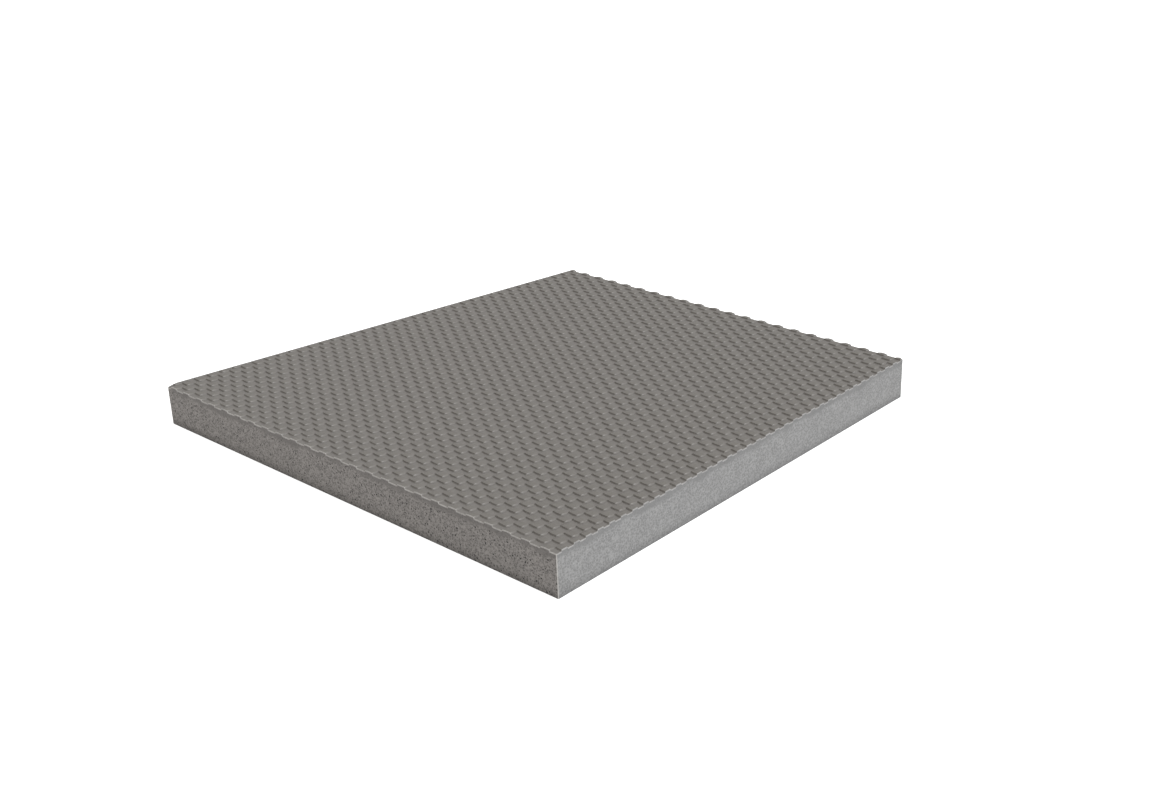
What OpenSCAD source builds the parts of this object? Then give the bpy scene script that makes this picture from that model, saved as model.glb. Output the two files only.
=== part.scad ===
// A flat offcut of embossed foam sheet, lying with its textured side up.
// X runs along the long near edge, Y runs towards the short far edge and Z is up.
// The origin is at the middle of the bounding box, on the underside.

/* [Sheet] */
// Length of the long near edge
near_w = 125.8; // [90:0.1:155]
// Length of the short far edge, which starts at the same square side
far_w = 105.9; // [80:0.1:155]
// Distance from the near edge to the far edge
depth = 118.3; // [90:0.1:145]
// Thickness over the tops of the tabs
thick = 10; // [3:0.5:40]

/* [Embossed tabs] */
// Distance between two rows of tabs that are in step
tab_pitch = 5; // [4.1:0.1:8]
// Length of one tab, from its wall to the wall of the next
tab_l = 3.31; // [2.75:0.01:6]
// Height of the wall at the near end of each tab
tab_rise = 0.36; // [0.1:0.01:1]
// Distance from the square side to the middle line of the first row
first_row_x = 0.5; // [0:0.1:1]
// Distance from the near edge to the first wall in the first row
first_wall_y = 1.34; // [0:0.01:2.75]

/* [Hidden] */

// The wider of the two edges sets the bounding box, so that it stays centred
sheet_w = max(near_w, far_w);
square_x = sheet_w / 2;
near_y = -depth / 2;
far_y = depth / 2;

// Two rows lie in each pitch, the second half a tab out of step with the first
rows_per_pitch = 2;
row_w = tab_pitch / rows_per_pitch;
row_step_y = tab_l / rows_per_pitch;

// Each row starts up to a tab and a half before the near edge and ends past the far one
row_count = ceil(sheet_w / row_w) + 1;
tab_count = ceil(depth / tab_l) + 2;
tab_low_z = thick - tab_rise;

// Side view of one row: each tab rises at its wall and falls away towards the next
module row_profile(start_y) {
    end_y = start_y + tab_count * tab_l;
    tabs = [
        for (k = [0 : tab_count - 1])
            each [
                [start_y + k * tab_l, thick],
                [start_y + (k + 1) * tab_l, tab_low_z]
            ]
    ];
    polygon(concat([[start_y, 0]], tabs, [[end_y, 0]]));
}

// One row of tabs, down to the underside of the sheet
module tab_row(row) {
    middle_x = square_x - first_row_x - row * row_w;
    out_of_step = row % rows_per_pitch;
    start_y = near_y + first_wall_y - tab_l - out_of_step * row_step_y;
    translate([middle_x - row_w / 2, 0, 0])
        rotate([90, 0, 90])
            linear_extrude(row_w)
                row_profile(start_y);
}

// Plan of the sheet: one side is square to both edges, the other is cut at a slant
module outline() {
    polygon([
        [square_x, near_y],
        [square_x, far_y],
        [square_x - far_w, far_y],
        [square_x - near_w, near_y]
    ]);
}

module foam_sheet() {
    color([0.48, 0.47, 0.46])
        intersection() {
            linear_extrude(thick) outline();
            for (row = [0 : row_count - 1]) tab_row(row);
        }
}

foam_sheet();
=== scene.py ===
"""Looks of a flat offcut of embossed foam sheet, lying with its textured side up.

X runs along the long near edge, Y towards the short far edge, Z up. All lengths are in metres.
"""

import math

import bmesh
import bpy
from mathutils import Matrix, Vector


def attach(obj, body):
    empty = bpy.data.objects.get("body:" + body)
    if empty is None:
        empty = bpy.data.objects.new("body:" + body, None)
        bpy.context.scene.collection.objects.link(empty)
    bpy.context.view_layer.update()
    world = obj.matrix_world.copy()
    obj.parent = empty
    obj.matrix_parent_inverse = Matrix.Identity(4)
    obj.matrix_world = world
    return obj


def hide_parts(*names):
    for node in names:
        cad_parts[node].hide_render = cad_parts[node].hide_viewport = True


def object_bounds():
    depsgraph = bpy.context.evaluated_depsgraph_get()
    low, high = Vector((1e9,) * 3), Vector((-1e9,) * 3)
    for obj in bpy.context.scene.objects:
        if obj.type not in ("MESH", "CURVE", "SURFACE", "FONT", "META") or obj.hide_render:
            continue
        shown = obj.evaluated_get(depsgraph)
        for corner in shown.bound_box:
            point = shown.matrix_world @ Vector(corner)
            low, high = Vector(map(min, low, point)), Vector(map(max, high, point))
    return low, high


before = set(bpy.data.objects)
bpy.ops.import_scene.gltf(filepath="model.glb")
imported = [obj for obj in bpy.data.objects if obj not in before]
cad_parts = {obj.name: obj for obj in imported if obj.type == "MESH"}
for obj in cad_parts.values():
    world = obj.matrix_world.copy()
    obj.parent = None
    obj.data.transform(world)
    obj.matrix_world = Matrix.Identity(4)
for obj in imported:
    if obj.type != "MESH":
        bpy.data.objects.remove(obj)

MM = 0.001
# Points closer together than this are in the same place
HAIR = 0.001 * MM

# ---------------------------------------------------------------- sizes, as in the part's source
FAR_W = 105.9 * MM
TAB_PITCH = 5.0 * MM
TAB_L = 3.31 * MM
TAB_RISE = 0.36 * MM
FIRST_ROW_X = 0.5 * MM
FIRST_WALL_Y = 1.34 * MM

cad_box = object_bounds()
LOW, HIGH = (Vector(corner) for corner in cad_box)
THICK = HIGH.z - LOW.z
# Two rows lie in each pitch, the second half a tab out of step with the first
ROWS_PER_PITCH = 2
ROW_W = TAB_PITCH / ROWS_PER_PITCH

# ---------------------------------------------------------------- form of one tab
# A tab is a block with a crowned top. Its front corners are rounded in plan, and it stands on
# the floor of the pattern in the first half of its length. The second half is that floor.
# Stations across a tab, as shares of its width from its middle, and the share of height there:
# its top rounds off towards -X and drops steeply at +X
ACROSS = (-0.5, -0.46, -0.34, -0.12, 0.08, 0.24, 0.36, 0.43, 0.5)
CROWN = (0.0, 0.5, 0.84, 1.0, 1.0, 0.98, 0.95, 0.9, 0.0)
# How far each of them has bent back from the straight front, as a share of the side's place
BEND = (1.0, 0.5, 0.2, 0.02, 0.0, 0.0, 0.03, 0.3, 1.0)
# Stations along a tab, as shares of its length, and the share of height there: foot, brink and
# crest of the front, rear brink, rear foot, then one on the floor
ALONG = (0.0, 0.03, 0.11, 0.47, 0.56, 0.78)
LEVEL = (0.0, 0.94, 1.0, 1.0, 0.0, 0.0)
# Where the first half of the stations lies at the tab's side. The second half follows half a
# tab later, where the next row starts.
ALONG_SIDE = (0.18, 0.23, 0.36)
# How strongly the top falls away towards its sides at each station along: little at the front
# brink, most at the rear one
SLUMP = (0.0, 0.3, 0.8, 4.0, 1.0, 1.0)
# The stations whose +X corner gets a painted highlight, for the sheen of the key light there, and how
# much
CORNER_HIGHLIGHT = (0.0, 1.0, 0.7, 0.0, 0.0, 0.0)
CORNER_HIGHLIGHT_COLUMN = 7
# Spare tabs at the two ends of each row, and spare rows, which the cuts take off
TABS_BEFORE = 2
TABS_AFTER = 1
SPARE_PITCHES = 1

# ---------------------------------------------------------------- form of the cut edges
# The blunted corners, in the order of outline_corners
CORNER_CHAMFERS = (0.15 * MM, 0.15 * MM, 0.4 * MM, 0.4 * MM)
# How far from each corner the skin is bent down, and how deep it lies at the corner itself
CORNER_REACH = (0.5 * MM, 0.9 * MM, 0.5 * MM, 2.2 * MM)
CORNER_DIP = (0.0, 0.35 * MM, 0.0, 0.5 * MM)
# The rim is bevelled, and its bevel and a little way below it take a pale colour, a painted highlight.
# The foot is bevelled too.
RIM_CHAMFER = 0.08 * MM
RIM_DEPTH = 0.17 * MM
FOOT_CHAMFER = 0.12 * MM
# The slanted side has a narrow strip pressed level, with a short ramp up or down to the pattern.
# The strip lies a little below the tops of the tabs.
PRESSED_W = 0.34 * MM
PRESSED_RAMP = 0.08 * MM
PRESSED_SINK = 0.4 * TAB_RISE
# Where two faces of the skin meet at more than this, the edge between them shows as a crease
CREASE_ANGLE = math.radians(35)

# The sheet's finishes, in the order of its materials
SKIN, PRESSED, SQUARE_RIM_HIGHLIGHT, RIM_AND_CORNER_HIGHLIGHT, LIT_SIDE_CUT, SHADED_SIDE_CUT, UNDERSIDE = range(7)
# Where two of the cuts come in the list of planes. The odd places are the blunted corners.
SQUARE_CUT = 0
SLANTED_CUT = 4

# ---------------------------------------------------------------- colours and finishes
# Colours as they look on screen, from 0 to 255
SKIN_TOP = (116, 112, 107)
# The floor between the tabs is painted paler than their tops: painted light that offsets the shade
# falling on it
SKIN_FLOOR_PAINTED_LIGHT = (122, 118, 114)
# The pale colour on the +X front corner of each tab is a painted highlight
SKIN_CORNER_HIGHLIGHT = (157, 154, 150)
PRESSED_COLOUR = (101, 97, 93)
# The pale rim and corner colours are painted highlights, added to the light their bevels catch. The rim
# on the square side gets the weaker one, the other rims and the corners the stronger one
SQUARE_RIM_HIGHLIGHT_COLOUR = (152, 150, 148)
RIM_AND_CORNER_HIGHLIGHT_COLOUR = (171, 168, 164)
UNDERSIDE_COLOUR = (126, 122, 118)
# Lit and shaded copies of the cut, with how open their cells are, and how dark the foot and its very
# edge are
# The cells are real. The shaded copy's stronger cell contrast and darker, warmer tone are painted shade
# of light grazing those sides
LIT_SIDE_CUT_LOOK = {"colour": (133, 132, 131), "openings": 0.24, "foot_shade": 0.64, "line_shade": 1.0}
SHADED_SIDE_CUT_LOOK = {"colour": (130, 126, 123), "openings": 0.55, "foot_shade": 0.48, "line_shade": 0.8}

# The low and the high end of the grain, and the roughness that goes with each
GRAIN_ENDS = (0.3, 0.7)
SKIN_ROUGHNESS = (0.58, 0.72)
PRESSED_ROUGHNESS = (0.54, 0.66)
EDGE_ROUGHNESS = (0.7, 0.85)
CUT_ROUGHNESS = (0.82, 0.95)
UNDERSIDE_ROUGHNESS = (0.62, 0.78)

BUMP_STRENGTH = 0.6
SKIN_BUMP = 0.03 * MM
EDGE_BUMP = 0.04 * MM
CUT_BUMP = 0.06 * MM

# How the shared effects are set on each surface
SKIN_GRAIN = {
    "Patches per Metre": 420,
    "Grains per Metre": 3600,
    "Patch Strength": 0.05,
    "Grain Strength": 0.06,
}
EDGE_GRAIN = {
    "Patches per Metre": 350,
    "Grains per Metre": 3000,
    "Patch Strength": 0.12,
    "Grain Strength": 0.1,
}
CUT_GRAIN = {
    "Patches per Metre": 260,
    "Grains per Metre": 3500,
    "Patch Strength": 0.05,
    "Grain Strength": 0.1,
}
UNDERSIDE_GRAIN = {
    "Patches per Metre": 120,
    "Grains per Metre": 2500,
    "Patch Strength": 0.06,
    "Grain Strength": 0.08,
}
CUT_CELLS = {"Cells per Metre": 2500, "Pores per Metre": 1500}
EDGE_CELLS = CUT_CELLS | {"Strength": 0.1, "Pore Strength": 0.2}
UNDERSIDE_CELLS = {
    "Cells per Metre": 2500,
    "Pores per Metre": 350,
    "Strength": 0.06,
    "Pore Strength": 0.25,
}

# Noises and the form of the cells swing about this middle, and their swing is made larger
MIDDLE = 0.5
GRAIN_GAIN = 4.0
CELL_GAIN = 2.0
# Where the side of a cell's cup starts and ends, and how much of the cell's form is the cup
CUP_SIDE = (0.1, 0.75)
CUP_SHARE = 0.6
# The share of places without a pore or a pale speck, and the radius of the largest of each, as a
# share of the distance between two places
NO_PORE = 0.3
LARGEST_PORE = 0.3
NO_SPECK = 0.4
LARGEST_SPECK = 0.28
# How strong a speck is beside a pore, and on a cut face a pore beside the cells
SPECK_TO_PORE = 0.5
PORE_TO_CELL = 1.7
# How much painted highlight a place has where its colour starts to turn pale
CORNER_HIGHLIGHT_START = 0.35

# The band of closed-up cells under the skin: where it is full and where it ends, below the top.
# Its cells are less open, and it is darker.
BAND_FULL = 0.9 * MM
BAND_END = 2.0 * MM
BAND_OPENNESS = 0.3
BAND_SHADE = 0.82
# How much the band wanders up and down
BAND_WANDER = 2.5 * MM
WANDERS_PER_METRE = 180
# The darker foot and the line along its very edge are painted shade, where the sheet meets the floor
# The darker foot of a cut face, and the line along its very edge: where each is full and where it
# ends, above the underside. The foot would be full only below the sheet.
FOOT_END = 2.6 * MM
FOOT_FULL = -FOOT_END / 3
LINE_END = 0.35 * MM
LINE_FULL = LINE_END / 2

# ---------------------------------------------------------------- light, floor and camera
# Angles are in degrees
AMBIENT = 0.72
AMBIENT_COLOUR = (1.0, 0.985, 0.965, 1.0)
WHITE = (1.0, 1.0, 1.0, 1.0)
KEY_COLOUR = (0.96, 1.0, 1.04)
KEY_ENERGY = 1.85
KEY_ANGLE = 15
KEY_AZIMUTH = 96
KEY_ELEVATION = 27

FLOOR_COLOUR = (0.8, 0.8, 0.8, 1.0)
FLOOR_GLOW = 0.75
# From the middle of the floor to its edge
FLOOR_REACH = 4.0
FLOOR_GAP = 0.01 * MM

CAMERA_PLACE = Vector((235.24, -233.12, 148.34)) * MM
CAMERA_AZIMUTH = 43.205
CAMERA_ELEVATION = 23.692
CAMERA_ROLL = -2.06
# The lens and the sensor are in millimetres, as the camera takes them
LENS = 46.98
SENSOR_WIDTH = 36
NEAREST_SEEN = 0.01
FURTHEST_SEEN = 20


# ---------------------------------------------------------------- mesh and object helpers
def only(kind, items):
    return [item for item in items if isinstance(item, kind)]


def open_edges(bm):
    return [edge for edge in bm.edges if edge.is_boundary]


def repeat(bm, count, step):
    """Copies all of the mesh count - 1 times, each copy one step further on."""
    first = bm.verts[:] + bm.edges[:] + bm.faces[:]
    for n in range(1, count):
        copy = bmesh.ops.duplicate(bm, geom=first)["geom"]
        bmesh.ops.translate(bm, verts=only(bmesh.types.BMVert, copy), vec=step * n)


def slice_sheet(bm, plane, inset, clear_outer=False):
    """Cuts the mesh along a plane moved inwards, and may clear away what is outside it."""
    point, normal = plane
    bmesh.ops.bisect_plane(
        bm,
        geom=bm.verts[:] + bm.edges[:] + bm.faces[:],
        plane_co=point - normal * inset,
        plane_no=normal,
        clear_outer=clear_outer,
    )


def new_object(name, data):
    thing = bpy.data.objects.new(name, data)
    bpy.context.scene.collection.objects.link(thing)
    return thing


def mesh_object(name, bm, materials):
    """Turns a finished bmesh into an object, and frees it."""
    mesh = bpy.data.meshes.new(name)
    bm.to_mesh(mesh)
    bm.free()
    for material in materials:
        mesh.materials.append(material)
    return new_object(name, mesh)


# ---------------------------------------------------------------- the embossed skin
def tab_point(column, station):
    """Place on one tab: how far along it (share of its length) and how high (share of its rise)."""
    turn, index = divmod(station, len(ALONG))
    side_turn, side_index = divmod(station, len(ALONG_SIDE))
    middle = ALONG[index] + turn
    side = ALONG_SIDE[side_index] + side_turn / ROWS_PER_PITCH
    at_side = column in (0, len(ACROSS) - 1)
    crown = 0.0 if at_side else max(0.0, 1 - (1 - CROWN[column]) * SLUMP[index])
    return middle + (side - middle) * BEND[column], LEVEL[index] * crown


def add_tab(bm, relief, corner_highlight):
    """One tab as a small grid whose points are moved onto its crowned, rounded form."""
    columns, rows = len(ACROSS) - 1, len(ALONG)
    grid = bmesh.ops.create_grid(bm, x_segments=columns, y_segments=rows, size=0.5)
    for vert in grid["verts"]:
        column = round((vert.co.x + 0.5) * columns)
        station = round((vert.co.y + 0.5) * rows)
        along, height = tab_point(column, station)
        vert.co = Vector((ACROSS[column] * ROW_W, along * TAB_L, THICK - TAB_RISE * (1 - height)))
        vert[relief] = height
        # Share of painted highlight at this point
        vert[corner_highlight] = CORNER_HIGHLIGHT[station % rows] if column == CORNER_HIGHLIGHT_COLUMN else 0.0


def add_skin(bm, relief, corner_highlight):
    """Rows of tabs, each row half a tab out of step with the last, over more than the sheet."""
    width, depth = HIGH.x - LOW.x, HIGH.y - LOW.y
    tab_count = TABS_BEFORE + math.ceil(depth / TAB_L) + TABS_AFTER
    pitch_count = math.ceil(width / TAB_PITCH) + SPARE_PITCHES
    add_tab(bm, relief, corner_highlight)
    repeat(bm, tab_count, Vector((0, TAB_L, 0)))
    repeat(bm, ROWS_PER_PITCH, Vector((-ROW_W, TAB_L / ROWS_PER_PITCH, 0)))
    repeat(bm, pitch_count, Vector((-TAB_PITCH, 0, 0)))
    start = Vector((HIGH.x - FIRST_ROW_X, LOW.y + FIRST_WALL_Y - TABS_BEFORE * TAB_L, LOW.z))
    bmesh.ops.translate(bm, verts=bm.verts, vec=start)
    bmesh.ops.remove_doubles(bm, verts=bm.verts, dist=HAIR)


# ---------------------------------------------------------------- the cut outline
def outline_corners():
    """Corners of the plan, anticlockwise from the square near corner."""
    return [
        Vector((HIGH.x, LOW.y, 0)),
        Vector((HIGH.x, HIGH.y, 0)),
        Vector((HIGH.x - FAR_W, HIGH.y, 0)),
        Vector((LOW.x, LOW.y, 0)),
    ]


def cut_planes():
    """A point and an outward normal for each of the four cuts and each blunted corner."""
    corners = outline_corners()
    planes = []
    for n, (corner, chamfer) in enumerate(zip(corners, CORNER_CHAMFERS)):
        ahead = (corners[(n + 1) % len(corners)] - corner).normalized()
        behind = (corners[n - 1] - corner).normalized()
        planes.append((corner, Vector((ahead.y, -ahead.x, 0))))
        planes.append((corner + ahead * chamfer, -(ahead + behind).normalized()))
    return planes


def outside(place, plane):
    """How far a place is outside a plane."""
    point, normal = plane
    return (place - point).dot(normal)


def press_slanted_edge(bm, plane):
    """Levels a narrow strip of the skin along the slanted cut."""
    slice_sheet(bm, plane, PRESSED_W)
    slice_sheet(bm, plane, PRESSED_W + PRESSED_RAMP)
    for vert in bm.verts:
        if outside(vert.co, plane) > -PRESSED_W - HAIR:
            vert.co.z = HIGH.z - PRESSED_SINK
    for face in bm.faces:
        if outside(face.calc_center_median(), plane) > -PRESSED_W:
            face.material_index = PRESSED


def bend_corners_down(bm):
    """Lowers the skin towards the corners that have been knocked."""
    for corner, reach, dip in zip(outline_corners(), CORNER_REACH, CORNER_DIP):
        for vert in bm.verts:
            distance = (vert.co.xy - corner.xy).length
            vert.co.z -= dip * max(0.0, 1 - distance / reach)


def crease_sharp_edges(bm):
    """Leaves the skin smooth, apart from its sharp edges."""
    bm.normal_update()
    for edge in bm.edges:
        edge.smooth = not edge.is_manifold or edge.calc_face_angle() < CREASE_ANGLE


def cut_finish(place, planes, is_rim):
    """Finish of a new face at a place.

    The square side, facing the key, takes the lit copy of the cut and the others the shaded one;
    corners take the stronger painted highlight.
    """
    number = max(range(len(planes)), key=lambda n: outside(place, planes[n]))
    on_square_side = number == SQUARE_CUT
    on_corner = number % 2 == 1
    if is_rim or on_corner:
        return SQUARE_RIM_HIGHLIGHT if on_square_side else RIM_AND_CORNER_HIGHLIGHT
    return LIT_SIDE_CUT if on_square_side else SHADED_SIDE_CUT


def next_ring(bm, planes, is_rim, drop=None, height=None, outward=0.0):
    """Extrudes the open edge down by drop or to height, and moves it outwards from each cut."""
    extruded = bmesh.ops.extrude_edge_only(bm, edges=open_edges(bm))["geom"]
    for vert in only(bmesh.types.BMVert, extruded):
        reach = [outside(vert.co, plane) for plane in planes]
        # A point where a cut meets a blunted corner moves out from both
        facing = [normal for (_, normal), far in zip(planes, reach) if far > max(reach) - HAIR]
        total = sum(facing, Vector())
        vert.co += total * (outward / total.dot(facing[0]))
        vert.co.z = height if drop is None else vert.co.z - drop
    for face in only(bmesh.types.BMFace, extruded):
        face.material_index = cut_finish(face.calc_center_median(), planes, is_rim)
        face.smooth = False


def close_underside(bm):
    """Closes the sheet with flat faces that all meet at its middle."""
    extruded = bmesh.ops.extrude_edge_only(bm, edges=open_edges(bm))["geom"]
    inner = only(bmesh.types.BMVert, extruded)
    bmesh.ops.pointmerge(bm, verts=inner, merge_co=(0, 0, LOW.z))
    for face in bm.faces:
        if face.calc_center_median().z < LOW.z + HAIR:
            face.material_index = UNDERSIDE


def foam_sheet(materials):
    """The sheet as one closed mesh: its skin first, then the cut faces, ring by ring downwards."""
    bm = bmesh.new()
    relief = bm.verts.layers.float.new("relief")
    corner_highlight = bm.verts.layers.float.new("corner_highlight")
    add_skin(bm, relief, corner_highlight)
    planes = cut_planes()
    for plane in planes:
        slice_sheet(bm, plane, RIM_CHAMFER, clear_outer=True)
    for face in bm.faces:
        face.smooth = True
        face.material_index = SKIN
    press_slanted_edge(bm, planes[SLANTED_CUT])
    bend_corners_down(bm)
    crease_sharp_edges(bm)
    next_ring(bm, planes, is_rim=True, drop=RIM_CHAMFER, outward=RIM_CHAMFER)
    next_ring(bm, planes, is_rim=True, drop=RIM_DEPTH)
    next_ring(bm, planes, is_rim=False, height=LOW.z + FOOT_CHAMFER)
    next_ring(bm, planes, is_rim=False, height=LOW.z, outward=-FOOT_CHAMFER)
    close_underside(bm)
    bmesh.ops.recalc_face_normals(bm, faces=bm.faces)
    return mesh_object("embossed_foam", bm, materials)


# ---------------------------------------------------------------- node helpers
def srgb(red, green, blue):
    """A colour given as it looks on screen, from 0 to 255, as the linear value that nodes take."""
    def linear(value):
        share = value / 255
        return share / 12.92 if share <= 0.04045 else ((share + 0.055) / 1.055) ** 2.4
    return (linear(red), linear(green), linear(blue), 1.0)


def add(tree, kind, inputs=None, **settings):
    """Adds a node with its settings. Each input is given a value, or a socket to link from."""
    node = tree.nodes.new("ShaderNode" + kind)
    for name, value in settings.items():
        setattr(node, name, value)
    for socket, value in (inputs or {}).items():
        if isinstance(value, bpy.types.NodeSocket):
            tree.links.new(value, node.inputs[socket])
        else:
            node.inputs[socket].default_value = value
    return node


def calculate(tree, operation, first, second):
    return add(tree, "Math", {0: first, 1: second}, operation=operation).outputs[0]


def ramp(tree, value, low, high, to_low=0.0, to_high=1.0):
    """Eases a value from low..high to to_low..to_high, and holds it outside."""
    inputs = {"Value": value, "From Min": low, "From Max": high, "To Min": to_low, "To Max": to_high}
    return add(tree, "MapRange", inputs, interpolation_type="SMOOTHSTEP").outputs["Result"]


def noise(tree, place, scale, detail):
    """A noise that swings about MIDDLE."""
    return add(tree, "TexNoise", {"Vector": place, "Scale": scale, "Detail": detail}).outputs["Fac"]


def swing(tree, value, strength):
    """How far a value is above or below MIDDLE, times a strength."""
    return calculate(tree, "MULTIPLY", calculate(tree, "SUBTRACT", value, MIDDLE), strength)


def factor(tree, change, gain):
    """The factor that a change makes: 1 where there is none."""
    return calculate(tree, "ADD", calculate(tree, "MULTIPLY", change, gain), 1.0)


def shaded(tree, colour, shade):
    """The colour made lighter or darker by a factor."""
    return add(tree, "VectorMath", {0: colour, "Scale": shade}, operation="SCALE").outputs[0]


def blend_colours(tree, share, first, second):
    inputs = {"Factor": share, "A": first, "B": second}
    return add(tree, "Mix", inputs, data_type="RGBA").outputs["Result"]


# ---------------------------------------------------------------- shared effects
def shader_group(name, numbers):
    """A node group that takes a colour and the named numbers, and gives a colour and a height."""
    group = bpy.data.node_groups.new(name, "ShaderNodeTree")
    group.interface.new_socket("Colour", in_out="INPUT", socket_type="NodeSocketColor")
    for label in numbers:
        group.interface.new_socket(label, in_out="INPUT", socket_type="NodeSocketFloat")
    group.interface.new_socket("Colour", in_out="OUTPUT", socket_type="NodeSocketColor")
    group.interface.new_socket("Height", in_out="OUTPUT", socket_type="NodeSocketFloat")
    given = group.nodes.new("NodeGroupInput").outputs
    result = group.nodes.new("NodeGroupOutput").inputs
    place = add(group, "TexCoord").outputs["Object"]
    return group, given, result, place


def foam_grain_group():
    """Soft patches and a fine grain, which lighten and darken a colour a little."""
    group, given, result, place = shader_group("foam_grain", SKIN_GRAIN.keys())
    patches = noise(group, place, given["Patches per Metre"], detail=2)
    grains = noise(group, place, given["Grains per Metre"], detail=1)
    patch = swing(group, patches, given["Patch Strength"])
    grain = swing(group, grains, given["Grain Strength"])
    shade = factor(group, calculate(group, "ADD", patch, grain), GRAIN_GAIN)
    group.links.new(shaded(group, given["Colour"], shade), result["Colour"])
    group.links.new(grains, result["Height"])
    return group


def scattered_dots(tree, distance, chance, none, largest):
    """1 inside round dots of uneven size, of which a share is left out."""
    size = ramp(tree, chance, none, 1.0, 0.0, largest)
    return calculate(tree, "LESS_THAN", distance, size)


def foam_cells_group():
    """Cut cells: small cups of uneven depth between paler walls, a few open pores and specks."""
    group, given, result, place = shader_group("foam_cells", EDGE_CELLS.keys())
    cells = add(group, "TexVoronoi", {"Vector": place, "Scale": given["Cells per Metre"]})
    uneven = add(group, "SeparateColor", {0: cells.outputs["Color"]}).outputs["Red"]
    cup = calculate(group, "MULTIPLY", ramp(group, cells.outputs["Distance"], *CUP_SIDE), CUP_SHARE)
    form = calculate(group, "ADD", cup, calculate(group, "MULTIPLY", uneven, 1 - CUP_SHARE))
    shade = factor(group, swing(group, form, given["Strength"]), CELL_GAIN)
    pores = add(group, "TexVoronoi", {"Vector": place, "Scale": given["Pores per Metre"]})
    distance = pores.outputs["Distance"]
    chance = add(group, "SeparateColor", {0: pores.outputs["Color"]}).outputs
    hole = scattered_dots(group, distance, chance["Red"], NO_PORE, LARGEST_PORE)
    speck = scattered_dots(group, distance, chance["Green"], NO_SPECK, LARGEST_SPECK)
    darker = calculate(group, "MULTIPLY", hole, given["Pore Strength"])
    speck_strength = calculate(group, "MULTIPLY", given["Pore Strength"], SPECK_TO_PORE)
    paler = calculate(group, "MULTIPLY", speck, speck_strength)
    shade = calculate(group, "MULTIPLY", shade, calculate(group, "SUBTRACT", 1.0, darker))
    shade = calculate(group, "MULTIPLY", shade, calculate(group, "ADD", 1.0, paler))
    group.links.new(shaded(group, given["Colour"], shade), result["Colour"])
    group.links.new(calculate(group, "SUBTRACT", form, hole), result["Height"])
    return group


def place_group(tree, group, colour, settings):
    """Places a shared effect, and gives its outputs."""
    return add(tree, "Group", {"Colour": colour} | settings, node_tree=group).outputs


# ---------------------------------------------------------------- materials
def new_material(name):
    material = bpy.data.materials.new(name)
    material.use_nodes = True
    return material, material.node_tree


def finish_surface(tree, colour, height, bump, grain, roughness):
    """Gives the shader its colour, its bump and a roughness that follows the grain's height."""
    shader = tree.nodes["Principled BSDF"]
    uneven = add(tree, "Bump", {"Height": height, "Strength": BUMP_STRENGTH, "Distance": bump})
    tree.links.new(colour, shader.inputs["Base Color"])
    uneven_roughness = ramp(tree, grain["Height"], *GRAIN_ENDS, *roughness)
    tree.links.new(uneven_roughness, shader.inputs["Roughness"])
    tree.links.new(uneven.outputs["Normal"], shader.inputs["Normal"])


def skin_material(grain_group):
    """The embossed face: floor paled with painted light, tab corners with a painted highlight, fine
    grain.
    """
    material, tree = new_material("foam_skin")
    relief = add(tree, "Attribute", attribute_name="relief").outputs["Fac"]
    corner_highlight = add(tree, "Attribute", attribute_name="corner_highlight").outputs["Fac"]
    # Painted light: the floor between the tabs is paler than their tops, offsetting its shade
    colour = blend_colours(tree, relief, srgb(*SKIN_FLOOR_PAINTED_LIGHT), srgb(*SKIN_TOP))
    # Painted highlight on the +X front corner of each tab
    colour = blend_colours(tree, ramp(tree, corner_highlight, CORNER_HIGHLIGHT_START, 1.0), colour, srgb(*SKIN_CORNER_HIGHLIGHT))
    grain = place_group(tree, grain_group, colour, SKIN_GRAIN)
    finish_surface(tree, grain["Colour"], grain["Height"], SKIN_BUMP, grain, SKIN_ROUGHNESS)
    return material


def pressed_material(grain_group):
    """The strip pressed level along the slanted side: a darker, smoother skin."""
    material, tree = new_material("pressed_skin")
    grain = place_group(tree, grain_group, srgb(*PRESSED_COLOUR), SKIN_GRAIN)
    finish_surface(tree, grain["Colour"], grain["Height"], SKIN_BUMP, grain, PRESSED_ROUGHNESS)
    return material


def edge_material(name, grain_group, cells_group, colour):
    """The paler line where the sheet was cut through its skin, and down its corners: a painted
    highlight over its bevel.
    """
    material, tree = new_material(name)
    grain = place_group(tree, grain_group, srgb(*colour), EDGE_GRAIN)
    cells = place_group(tree, cells_group, grain["Colour"], EDGE_CELLS)
    finish_surface(tree, cells["Colour"], cells["Height"], EDGE_BUMP, grain, EDGE_ROUGHNESS)
    return material


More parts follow.
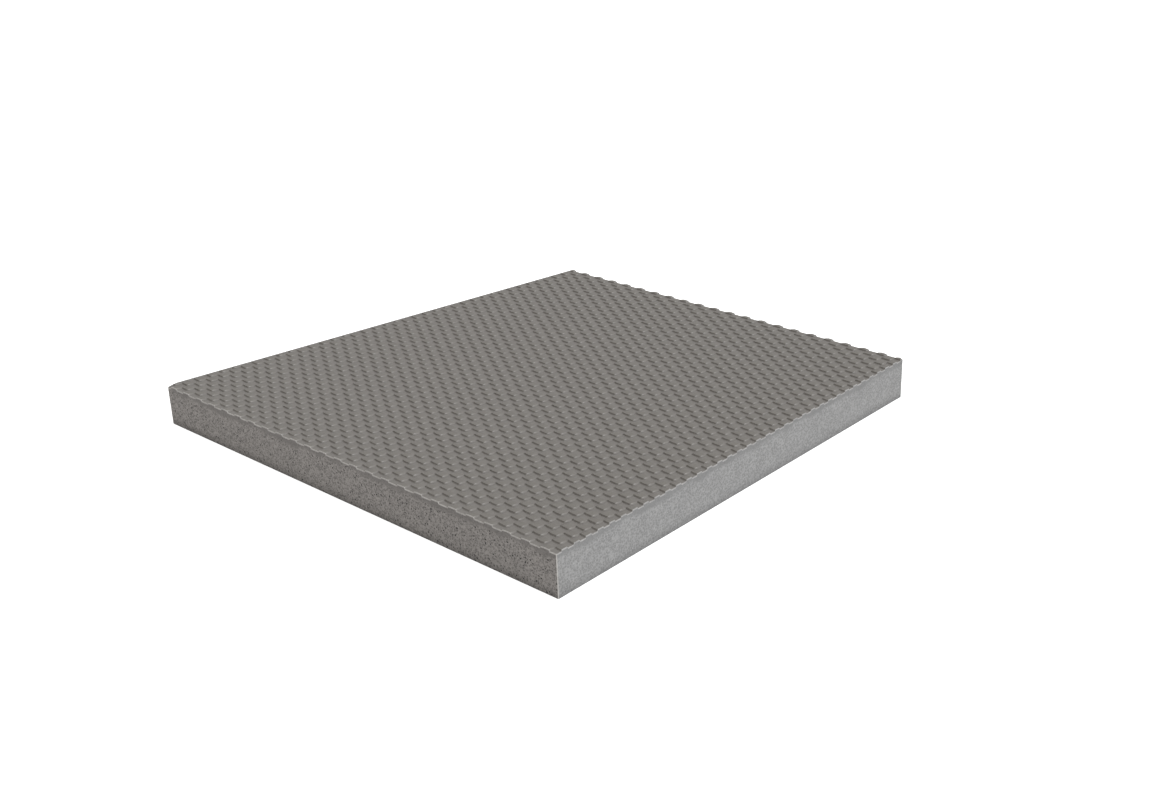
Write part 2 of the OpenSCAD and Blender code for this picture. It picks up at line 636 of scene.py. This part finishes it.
def cut_material(name, grain_group, cells_group, colour, openings, foot_shade, line_shade):
    """A cut face: open cells, closed up to a smoother band under the skin, with painted shade at the
    foot.
    """
    material, tree = new_material(name)
    place = add(tree, "TexCoord").outputs["Object"]
    wander = swing(tree, noise(tree, place, WANDERS_PER_METRE, detail=1), BAND_WANDER)
    height = add(tree, "SeparateXYZ", {0: place}).outputs["Z"]
    level = calculate(tree, "ADD", height, wander)
    openness = ramp(tree, level, HIGH.z - BAND_END, HIGH.z - BAND_FULL, 1.0, BAND_OPENNESS)
    # Painted shade at the foot and along its very edge
    foot = ramp(tree, height, LOW.z + FOOT_FULL, LOW.z + FOOT_END, foot_shade, 1.0)
    line = ramp(tree, height, LOW.z + LINE_FULL, LOW.z + LINE_END, line_shade, 1.0)
    band = ramp(tree, level, HIGH.z - BAND_END, HIGH.z - BAND_FULL, 1.0, BAND_SHADE)
    shade = calculate(tree, "MULTIPLY", calculate(tree, "MULTIPLY", foot, line), band)
    uneven_colour = shaded(tree, srgb(*colour)[:3], shade)
    grain = place_group(tree, grain_group, uneven_colour, CUT_GRAIN)
    strengths = {
        "Strength": calculate(tree, "MULTIPLY", openness, openings),
        "Pore Strength": calculate(tree, "MULTIPLY", openness, openings * PORE_TO_CELL),
    }
    cells = place_group(tree, cells_group, grain["Colour"], CUT_CELLS | strengths)
    depth = calculate(tree, "MULTIPLY", cells["Height"], openness)
    finish_surface(tree, cells["Colour"], depth, CUT_BUMP, grain, CUT_ROUGHNESS)
    return material


def underside_material(grain_group, cells_group):
    """The plain face that it lies on: a closed, dull skin with a fine grain and a few pinholes."""
    material, tree = new_material("foam_underside")
    grain = place_group(tree, grain_group, srgb(*UNDERSIDE_COLOUR), UNDERSIDE_GRAIN)
    cells = place_group(tree, cells_group, grain["Colour"], UNDERSIDE_CELLS)
    finish_surface(tree, cells["Colour"], cells["Height"], SKIN_BUMP, grain, UNDERSIDE_ROUGHNESS)
    return material


def shown_as_background(tree):
    """1 for what the camera sees, straight or in gloss or glass. 0 for the light that it gives."""
    path = add(tree, "LightPath").outputs
    seen = calculate(tree, "MAXIMUM", path["Is Camera Ray"], path["Is Glossy Ray"])
    return calculate(tree, "MAXIMUM", seen, path["Is Transmission Ray"])


def floor_material():
    """White floor that shows as plain white to the camera but still takes the object's shadow."""
    material, tree = new_material("white_floor")
    tree.nodes.clear()
    diffuse = add(tree, "BsdfDiffuse", {"Color": FLOOR_COLOUR})
    share = calculate(tree, "MULTIPLY", shown_as_background(tree), FLOOR_GLOW)
    glow = add(tree, "Emission", {"Strength": share})
    both = add(tree, "AddShader", {0: diffuse.outputs[0], 1: glow.outputs[0]})
    add(tree, "OutputMaterial", {"Surface": both.outputs[0]})
    return material


# ---------------------------------------------------------------- studio
def add_floor():
    bm = bmesh.new()
    bmesh.ops.create_grid(bm, x_segments=1, y_segments=1, size=FLOOR_REACH)
    bmesh.ops.translate(bm, verts=bm.verts, vec=(0, 0, LOW.z - FLOOR_GAP))
    floor = mesh_object("floor", bm, [floor_material()])


def add_world():
    """An even, slightly warm light from all round, which the camera sees as plain white."""
    world = bpy.data.worlds.new("studio")
    world.use_nodes = True
    bpy.context.scene.world = world
    tree = world.node_tree
    tree.nodes.clear()
    ambient = add(tree, "Background", {"Color": AMBIENT_COLOUR, "Strength": AMBIENT})
    white = add(tree, "Background", {"Color": WHITE, "Strength": 1})
    inputs = {0: shown_as_background(tree), 1: ambient.outputs[0], 2: white.outputs[0]}
    mix = add(tree, "MixShader", inputs)
    add(tree, "OutputWorld", {"Surface": mix.outputs[0]})


def away(azimuth, elevation):
    """Unit vector towards a light or camera. Azimuth 0 is on the -Y side and 90 on the +X side."""
    turn, lift = math.radians(azimuth), math.radians(elevation)
    return Vector((math.sin(turn) * math.cos(lift), -math.cos(turn) * math.cos(lift), math.sin(lift)))


def add_key_light():
    lamp = bpy.data.lights.new("key", "SUN")
    lamp.energy = KEY_ENERGY
    lamp.color = KEY_COLOUR
    lamp.angle = math.radians(KEY_ANGLE)
    key = new_object("key", lamp)
    key.rotation_euler = away(KEY_AZIMUTH, KEY_ELEVATION).to_track_quat("Z", "Y").to_euler()


def add_camera():
    camera = bpy.data.cameras.new("camera")
    camera.sensor_width = SENSOR_WIDTH
    camera.lens = LENS
    camera.clip_start = NEAREST_SEEN
    camera.clip_end = FURTHEST_SEEN
    holder = new_object("camera", camera)
    aim = away(CAMERA_AZIMUTH, CAMERA_ELEVATION).to_track_quat("Z", "Y").to_matrix().to_4x4()
    roll = Matrix.Rotation(math.radians(CAMERA_ROLL), 4, "Z")
    holder.matrix_world = Matrix.Translation(CAMERA_PLACE) @ aim @ roll
    bpy.context.scene.camera = holder


# ---------------------------------------------------------------- the scene
bpy.context.scene.view_settings.view_transform = "Standard"
grain_group = foam_grain_group()
cells_group = foam_cells_group()
sheet = foam_sheet([
    skin_material(grain_group),
    pressed_material(grain_group),
    edge_material("square_rim_highlight", grain_group, cells_group, SQUARE_RIM_HIGHLIGHT_COLOUR),
    edge_material("rim_and_corner_highlight", grain_group, cells_group, RIM_AND_CORNER_HIGHLIGHT_COLOUR),
    cut_material("lit_side_cut", grain_group, cells_group, **LIT_SIDE_CUT_LOOK),
    cut_material("shaded_side_cut", grain_group, cells_group, **SHADED_SIDE_CUT_LOOK),
    underside_material(grain_group, cells_group),
])
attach(sheet, "root")
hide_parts("foam_sheet")
add_floor()
add_world()
add_key_light()
add_camera()
